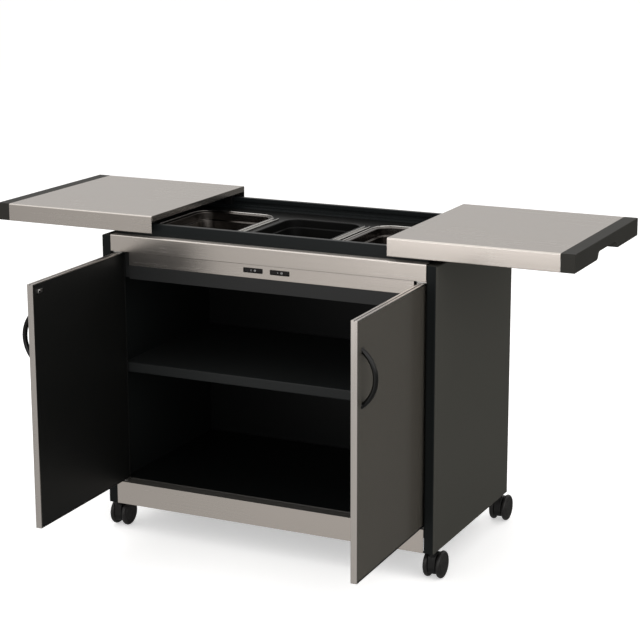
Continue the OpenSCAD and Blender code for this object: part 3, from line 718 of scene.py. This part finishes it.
def door_trim(side):
    """Bright trim, with black as painted shade in its groove, along the bottom and at the hinged edge.
    """
    trim = eased(merged_copy(side + "_door_trim"), 0.0004, 2, 40)
    moved(trim, swing(side).inverted())
    points = [corner.co for corner in trim.data.vertices]
    low = Vector([min(point[i] for point in points) for i in range(3)])
    high = Vector([max(point[i] for point in points) for i in range(3)])
    pin_x, band, groove_half = joints[side + "_door_hinge"]["pos_m"][0], 0.0034, 0.0012
    hinged_at_low = abs(low.x - pin_x) < abs(high.x - pin_x)
    hinged, free, inwards = (low.x, high.x, 1) if hinged_at_low else (high.x, low.x, -1)
    edit(trim)
    for place, way in (
        ((hinged + inwards * band, 0, 0), (1, 0, 0)),
        ((free - inwards * band, 0, 0), (1, 0, 0)),
        ((0, 0, low.z + band), (0, 0, 1)),
    ):
        bpy.ops.mesh.select_all(action="SELECT")
        bpy.ops.mesh.bisect(plane_co=place, plane_no=way)
    done()
    fitted(shaded(trim), steel_up, "brushed_steel", side + "_door_trim")
    # Painted shade: faces in the groove, in the bottom band and at the hinged edge take black plastic,
    # not steel.
    trim.data.materials.append(black_plastic.material)
    sunk, middle_y = 0.00008, (low.y + high.y) / 2
    for face in trim.data.polygons:
        at = face.center
        groove_painted_dark = high.z - band / 2 < at.z < high.z - sunk and abs(at.y - middle_y) < groove_half
        below = at.z < low.z + band and abs(at.x - free) > band
        face.material_index = int(groove_painted_dark or below or abs(at.x - hinged) < band)
    return moved(trim, swing(side))


for side in ("left", "right"):
    door_trim(side)
    soften(side + "_door_panel", door_boards[side], "charcoal_laminate", 0.0003)
    soften(side + "_door_fittings", plated, "plated_steel", 0.0004)


# %% [markdown]
# ## Bow handles
# The handle is a bow of round bar, as thick as a finger, standing on the door by two small
# feet. A circle is spun about the bow's centre through its angle, like bending a bar round a
# drum. A foot is turned on the lathe: a disc with a soft fillet up to the bar.


# %% Bend a handle
def bow_handle(side):
    opened = swing(side)
    low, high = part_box(side + "_handle")
    middle_z = (low.z + high.z) / 2
    half, reach, bar = 0.052, 0.026, 0.005
    pin_to_front, sunk, buried = 0.0121, 0.0005, math.radians(5)
    radius = (half * half + reach * reach) / (2 * reach)
    away = opened.inverted() @ Vector(((low.x + high.x) / 2, (low.y + high.y) / 2, middle_z))
    front_y = joints[side + "_door_hinge"]["pos_m"][1] - pin_to_front + sunk
    centre = Vector((away.x, front_y + radius - reach, middle_z))
    sweep = math.asin(half / radius) + buried
    start = (centre.x, centre.y - radius * math.cos(sweep), centre.z - radius * math.sin(sweep))
    bpy.ops.object.select_all(action="DESELECT")
    bpy.ops.mesh.primitive_circle_add(
        vertices=24, radius=bar, fill_type="NGON", location=start, rotation=(sweep, 0, 0)
    )
    bow = bpy.context.object
    bpy.ops.object.transform_apply(location=True, rotation=True, scale=True)
    turned(bow, centre, (1, 0, 0), steps=48, angle=2 * sweep)
    feet = []
    outline = [(0.0, -0.0025), (0.0046, -0.0025), (0.0052, -0.0021)]
    outline += [(0.0056, -0.0012), (0.0060, -0.0006), (0.0060, 0.0)]
    for end in (-1, 1):
        foot_at = Vector((centre.x, front_y, middle_z + end * half))
        foot = trace("foot", [foot_at + Vector((r, y, 0)) for r, y in outline])
        feet.append(turned(foot, foot_at, (0, 1, 0), steps=32))
    handle = joined(side + "_bow_handle", bow, *feet)
    moved(handle, opened)
    return fitted(shaded(handle, 50), handle_plastic, "black_plastic", side + "_handle")


for side in ("left", "right"):
    bow_handle(side)

# %% [markdown]
# ## Catch buttons
# High on each door's inner face, by the free edge, sits the catch: a zinc-plated block with a
# bright domed button. The dome is low, so that it clears the switches when the door is shut.
# It is turned about its own axis, with the door shut, and then swung open with the door.

# %% Turn the buttons
button_r, button_rise, button_z, pin_to_block = 0.0042, 0.00035, 0.5985, 0.0032
dome = [(0.0, button_rise), (button_r * 0.5, button_rise * 0.85), (button_r * 0.85, button_rise * 0.4)]
dome += [(button_r, -0.001), (button_r, -0.002)]
for side, shut_x in (("left", -0.0300), ("right", 0.0130)):
    at = Vector((shut_x, joints[side + "_door_hinge"]["pos_m"][1] + pin_to_block, button_z))
    button = trace(side + "_catch_button", [at + Vector((r, y, 0)) for r, y in dome])
    turned(button, at, (0, 1, 0), steps=32)
    fitted(shaded(moved(button, swing(side)), 60), chrome, "plated_steel", body=side + "_door")

# %% [markdown]
# ## Pressed pans
# A pan is pressed from one sheet, so it is modelled from one face: the outline with its
# corners rounded, then inset after inset, each pushed deeper. First comes the bead round the
# rim, coloured light as a painted highlight, then the flat rim, the upper wall, the shoulder that
# a lid or a smaller pan rests on, and the tapered lower wall. Every bend is then bevelled round,
# and the sheet gets its thickness outwards.


# %% Press a pan
def pressed_pan(node, finish, slot, bead, shoulder, lower_wall):
    """bead says whether the rim has one; shoulder and lower_wall are a width and a height."""
    low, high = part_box(node)
    centre, size, corner_r, rim_foot_z = (low + high) / 2, high - low, 0.042, 0.6572

    def inset_at(point):
        """How far inside the pan's outline a point lies."""
        across = abs(point.x - centre.x) - (size.x / 2 - corner_r)
        along = abs(point.y - centre.y) - (size.y / 2 - corner_r)
        return corner_r - math.hypot(max(across, 0), max(along, 0)) - min(max(across, along), 0)

    def runs_round(at, way, level, inset):
        """Whether an edge runs round the pan at a level, so far inside its outline."""
        return abs(at.z - level) < 2e-4 and abs(inset_at(at) - inset) < 4e-4 and abs(way.z) < 0.1

    bpy.ops.object.select_all(action="DESELECT")
    bpy.ops.mesh.primitive_plane_add(size=1.0, location=(centre.x, centre.y, high.z))
    pan = bpy.context.object
    pan.name = node + "_pressed"
    pan.scale = (size.x, size.y, 1.0)
    bpy.ops.object.transform_apply(location=True, rotation=True, scale=True)
    edit(pan, "VERT")
    bpy.ops.mesh.select_all(action="SELECT")
    bpy.ops.mesh.bevel(offset=corner_r, segments=12, affect="VERTICES")
    bpy.ops.mesh.select_mode(type="FACE")
    bpy.ops.mesh.select_all(action="SELECT")
    steps = [(0.0016, 0.0), (0.0006, -0.0018), (0.0082, 0.0)] if bead else [(0.0104, 0.0)]
    steps += [(0.0010, -0.018), (shoulder, 0.0), (0.005, -lower_wall)]
    levels, level, inset = [], high.z, 0.0
    for thickness, depth in steps:
        bpy.ops.mesh.inset(thickness=thickness, depth=depth, use_boundary=True)
        level, inset = level + depth, inset + thickness
        levels.append((level, inset))
    rounds = [(levels[-1], 0.007, 5), (levels[-2], 0.0014, 3)]
    rounds += [(levels[-3], 0.0014, 3), (levels[-4], 0.0022, 4)]
    for (level, inset), radius, segments in rounds:
        pick(pan, "edges", lambda at, way: runs_round(at, way, level, inset))
        bpy.ops.mesh.bevel(offset=radius, segments=segments, affect="EDGES")
    pick(pan, "edges", lambda at, way: inset_at(at) < 3e-4)
    bpy.ops.mesh.extrude_edges_move(TRANSFORM_OT_translate={"value": (0, 0, rim_foot_z - high.z)})
    if bead:
        pick(
            pan,
            "edges",
            lambda at, way: at.z > high.z - 2e-4 and inset_at(at) < 0.0022 and abs(way.z) < 0.1,
        )
        bpy.ops.mesh.bevel(offset=0.0006, segments=3, affect="EDGES")
    done()
    thick_sheet(pan, 0.0009, lambda middle: middle.z < low.z + 0.004)
    eased(pan, 0.0004, 3, 60)
    return fitted(shaded(pan, 45), finish, slot, node)


pressed_pan("left_pan", pan_steel, "pan_steel", True, 0.0042, 0.040)
pressed_pan("right_pan", pan_steel, "pan_steel", True, 0.0042, 0.040)
pressed_pan("middle_pan", enamel, "black_enamel", False, 0.0020, 0.050)

# %% [markdown]
# ## Switches
# Two black rocker switches sit in the steel strip, each with the usual sign for on and for
# off. The bezels and rockers keep their solids' form; the signs are made as thin raised
# shapes. A ray sent at the rocker finds its face, so the signs lie on it, tilt and all.

# %% Bezels, rockers and their signs
soften("switch_bezels", switch_plastic, "black_plastic", 0.0004, flattened=False)


def on_face(sign, rocker, x, z):
    """Lays a flat sign, drawn round the origin and facing -Y, on the rocker's face."""
    in_front = Vector((x, -0.2, z))
    _, place, normal, _ = nodes[rocker].ray_cast(in_front, Vector((0, 1, 0)))
    turn = Vector((0, -1, 0)).rotation_difference(normal).to_matrix().to_4x4()
    return moved(sign, Matrix.Translation(place) @ turn)


def on_sign(name):
    bpy.ops.object.select_all(action="DESELECT")
    bpy.ops.mesh.primitive_cube_add(size=1.0)
    bar = bpy.context.object
    bar.name = name
    bar.scale = (0.0007, 0.0003, 0.0036)
    bpy.ops.object.transform_apply(location=True, rotation=True, scale=True)
    return eased(bar, 0.00009, 2)


def off_sign(name):
    inner, outer, front, back = 0.0013, 0.0019, -0.00015, 0.0002
    outline = [(inner, front), (outer, front), (outer, back), (inner, back), (inner, front)]
    ring = trace(name, [(radius, y, 0) for radius, y in outline])
    return turned(ring, (0, 0, 0), (0, 1, 0), steps=32)


sign_x = 0.0042
for side in ("left", "right"):
    rocker = side + "_rocker"
    low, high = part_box(rocker)
    middle_x, middle_z = (low.x + high.x) / 2, (low.z + high.z) / 2
    signs = [
        on_face(on_sign(side + "_sign"), rocker, middle_x - sign_x, middle_z),
        on_face(off_sign("off"), rocker, middle_x + sign_x, middle_z),
    ]
    fitted(joined(side + "_switch_signs", *signs), white_mark, "black_plastic", body=rocker)
    soften(rocker, switch_plastic, "black_plastic", 0.0003)

# %% [markdown]
# ## Twin-wheel casters
# Each caster is a hood with a wheel on either side. A wheel is turned from its section: cap,
# ring groove, round tread and, inside, a recess round the hub. The hood's side view is traced,
# pulled across, hollowed at its foot and bevelled, and its neck is turned round the stem. One
# wheel and one hood are made at the origin and copied to their places.

# %% Turn the wheel
corners = ("front_left", "front_right", "rear_left", "rear_right")
tread_r, ring_r = 0.005, 0.0235
wheel_section = [(0.0, 0.0050), (0.0058, 0.0050), (0.0063, 0.0045), (0.0072, 0.0045), (0.0077, 0.0049)]
wheel_section += [(0.0188, 0.0049), (0.0193, 0.0041), (0.0206, 0.0041), (0.0211, 0.0048)]
wheel_section += arc((ring_r, 0.0), tread_r, 80, -80, 14)
wheel_section += [(0.0200, -0.0049), (0.0195, -0.0030), (0.0080, -0.0030), (0.0074, -0.0049)]
wheel_section += [(0.00315, -0.0049), (0.00315, 0.0024), (0.0, 0.0024)]
wheel = trace("wheel", [(offset, 0, r) for r, offset in wheel_section])
turned(wheel, (0, 0, 0), (1, 0, 0), steps=72)
shaded(wheel, 30)
for corner in corners:
    for letter, way in (("a", math.pi), ("b", 0.0)):
        name = f"{corner}_wheel_{letter}"
        axle = Vector(joints[name + "_roll"]["pos_m"])
        copy = twin(wheel, name + "_turned", Matrix.Translation(axle) @ Matrix.Rotation(way, 4, "Z"))
        fitted(copy, wheel_plastic, "wheel_nylon", name)
bpy.data.objects.remove(wheel)

# %% Hood, neck and axle
trail, axle_z, hood_r, foot_z, half_w = 0.016, 0.0285, 0.0255, 0.013, 0.0085
foot_angle = math.degrees(math.asin((axle_z - foot_z) / hood_r))
side_view = arc((trail, axle_z), hood_r, 180 + foot_angle, 180, 6)
side_view += [(-0.0086, 0.0400), (-0.0076, 0.0470), (-0.0060, 0.0510), (-0.0020, 0.0535)]
side_view += arc((trail, axle_z), hood_r, 96, -foot_angle, 24)
side_view += side_view[:1]
hood = filled(trace("hood", [(-half_w, y, z) for y, z in side_view]))
swept(hood, (2 * half_w, 0, 0))
edit(hood)
pick(hood, "faces", lambda middle, normal: normal.z < -0.99)
bpy.ops.mesh.inset(thickness=0.0020)
bpy.ops.mesh.extrude_region_move(TRANSFORM_OT_translate={"value": (0, 0, 0.009)})
done()
eased(hood, 0.0016, 3, 50)
neck_view = [(0.0042, 0.0360), (0.0075, 0.0360), (0.0075, 0.0588)]
neck_view += [(0.0071, 0.0601), (0.0062, 0.0605), (0.0042, 0.0605)]
neck = trace("neck", [(r, 0, z) for r, z in neck_view])
turned(neck, (0, 0, 0), (0, 0, 1), steps=40)
axle_view = [(-0.0163, 0.0), (-0.0163, 0.0026), (-0.0159, 0.0030)]
axle_view += [(0.0159, 0.0030), (0.0163, 0.0026), (0.0163, 0.0)]
axle = trace("axle", [(x, trail, axle_z + r) for x, r in axle_view])
turned(axle, (0, trail, axle_z), (1, 0, 0), steps=24)
caster = shaded(joined("caster", hood, neck, axle), 35)
for corner in corners:
    stem = Vector(joints[corner + "_caster_swivel"]["pos_m"])
    copy = twin(caster, corner + "_caster_hood", Matrix.Translation((stem.x, stem.y, 0)))
    fitted(copy, hood_plastic, "black_plastic", corner + "_caster")
bpy.data.objects.remove(caster)

# %% [markdown]
# ## The back and the small parts
# The back panel is screwed to the base board and the shelf. A screw head is a turned dome with
# a slot: the faces along the middle of the dome are picked and pushed in. The mains inlet, the
# thermostat's housing and the hinge hardware keep their solids' form.

# %% Inlet, housing, brackets and pins
soften("mains_inlet", black_plastic, "black_plastic", 0.0004, 3, flattened=False)
soften("thermostat_box", black_plastic, "black_plastic", 0.0010, 3)
soften("hinge_brackets", plated, "plated_steel", 0.0003)
dress(plated, "shelf_pins", "caster_stems")
dress(sheath, "heating_element")


# %% Screws in the back panel
def screw_head():
    """A pan head facing +Y, round the origin, with a slot pressed across it."""
    outline = [(0.0, 0.0018), (0.0016, 0.0017), (0.0028, 0.0013), (0.0034, 0.0006), (0.0035, -0.0005)]
    head = trace("screw", [(radius, y, 0) for radius, y in outline])
    turned(head, (0, 0, 0), (0, 1, 0), steps=24)
    edit(head)
    pick(head, "faces", lambda middle, normal: normal.y > 0.98 and abs(middle.x) < 0.0006)
    bpy.ops.mesh.extrude_region_move(TRANSFORM_OT_translate={"value": (0, -0.0008, 0)})
    done()
    return shaded(head, 30)


low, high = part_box("back_panel")
screw = screw_head()
screws = []
for row in (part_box("base_board"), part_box("middle_shelf")):
    for share in (0.06, 0.35, 0.65, 0.94):
        place = (low.x + (high.x - low.x) * share, high.y, (row[0].z + row[1].z) / 2)
        screws.append(twin(screw, "screw", Matrix.Translation(place)))
low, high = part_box("mains_inlet")
inlet_screw, flange_round = 0.0195, 0.0004
for end in (-inlet_screw, inlet_screw):
    place = ((low.x + high.x) / 2, high.y - flange_round, (low.z + high.z) / 2 + end)
    screws.append(twin(screw, "screw", Matrix.Translation(place) @ Matrix.Scale(0.8, 4)))
bpy.data.objects.remove(screw)
fitted(joined("back_screws", *screws), plated, "plated_steel", body="cabinet")

# %% [markdown]
# ## The camera
# The trolley is seen from the front right and from above. The place and the lens are the ones
# that draw the solids' corners where the original view has them.

# %% Camera
camera_place = (1.6988, -3.3369, 1.4144)
camera_yaw, camera_pitch, camera_roll = 25.714, -13.122, -0.133
focal_pixels, shift_pixels, image_pixels = 1868.7, -22.4, 640
bpy.ops.object.camera_add(location=camera_place)
camera = bpy.context.object
camera_turn = (
    Matrix.Rotation(math.radians(camera_yaw), 4, "Z")
    @ Matrix.Rotation(math.radians(90 + camera_pitch), 4, "X")
    @ Matrix.Rotation(math.radians(camera_roll), 4, "Z")
)
camera.rotation_euler = camera_turn.to_euler()
camera.data.sensor_width = 36.0
camera.data.lens = focal_pixels * camera.data.sensor_width / image_pixels
camera.data.shift_y = shift_pixels / image_pixels
bpy.context.scene.camera = camera
print("lens", round(camera.data.lens, 2), "mm")

# %% [markdown]
# ## The studio
# A pale floor runs far out behind the trolley. It glows a little by itself, so that it stays
# white and the shadows on it stay soft. Steel and laminate show what they face. A studio
# hangs pale and dark boards around such an object, low and outside the view. Here the sky
# below the horizon has patches for them: pale at the front left, which the fascia faces, and
# dark at the back right, which the side panel faces. The floor hides them from the eye, but
# not from gloss. The lamps are large and weak, so their mirror images in the steel stay soft.


# %% Floor, sky and soft boxes
def soft_box(name, place, target, size, power, tint=(1.0, 1.0, 1.0)):
    lamp = bpy.data.lights.new(name, "AREA")
    lamp.shape, lamp.size, lamp.size_y = "RECTANGLE", size[0], size[1]
    lamp.energy, lamp.color = power, tint
    stand = bpy.data.objects.new(name, lamp)
    bpy.context.scene.collection.objects.link(stand)
    stand.location = place
    stand.visible_camera = False
    stand.rotation_euler = (Vector(target) - Vector(place)).to_track_quat("-Z", "Y").to_euler()


bpy.ops.object.select_all(action="DESELECT")
bpy.ops.mesh.primitive_plane_add(size=80.0, location=(0, 0, -0.0005))
floor = bpy.context.object
floor.name = "studio_floor"
floor_paint = Finish(
    "studio_floor", Roughness=0.6, Specular_IOR_Level=0.2,
    Emission_Color=(1.0, 1.0, 1.0, 1.0), Emission_Strength=0.45,
)
clouds = floor_paint.noise(2.0, detail=3.0)
floor_paint.set(Base_Color=floor_paint.blend(clouds, (0.90, 0.90, 0.90), (0.93, 0.93, 0.925)))
floor.data.materials.append(floor_paint.material)
floor.visible_glossy = False


class Sky(Nodes):
    """The world and its nodes."""

    def __init__(self, name):
        self.world = bpy.data.worlds.new(name)
        self.world.use_nodes = True
        self.tree = self.world.node_tree
        self.background = self.tree.nodes["Background"]

    def towards(self, direction):
        """1 in a direction, 0 across it, -1 away from it."""
        look = self.node("ShaderNodeTexCoord", output=sky_direction)
        settings = {"operation": "DOT_PRODUCT"}
        return self.node("ShaderNodeVectorMath", settings, 1, _0=look, _1=Vector(direction).normalized())


sky = Sky("studio_sky")
pale_board = sky.towards((-0.28, -0.94, -0.21)).between(0.88, 0.99)
dark_board = sky.towards((0.42, 0.88, -0.23)).between(0.70, 0.92)
above = sky.towards((0, 0, 1)).between(-0.06, 0.06)
below = sky.blend(pale_board, (0.28, 0.28, 0.28), (0.69, 0.67, 0.65))
below = sky.blend(dark_board, below, (0.10, 0.10, 0.095))
tone = sky.blend(above, below, (0.62, 0.61, 0.60))
sky.feed(sky.background.inputs["Color"], tone)
bpy.context.scene.world = sky.world
soft_box("key_right", (3.3, -2.0, 2.5), (0.3, -0.3, 0.4), (4.4, 3.4), 64, (1.0, 0.985, 0.97))
soft_box("front_box", (0.1, -4.2, 1.7), (0.3, 0.0, 0.5), (4.6, 3.2), 23)
soft_box("low_card", (0.0, -1.60, 0.68), (0.45, -0.2, 0.75), (0.90, 0.50), 2.5, (1.0, 0.975, 0.975))
soft_box("edge_light", (-1.0, -1.2, 2.7), (0.0, -0.2, 0.7), (3.6, 3.2), 25)
soft_box("overhead", (-0.4, 1.6, 3.4), (-0.4, 1.4, 0.0), (4.5, 3.0), 40)
bpy.context.scene.view_settings.view_transform = "Standard"
print(len(bpy.data.lights), "soft boxes")
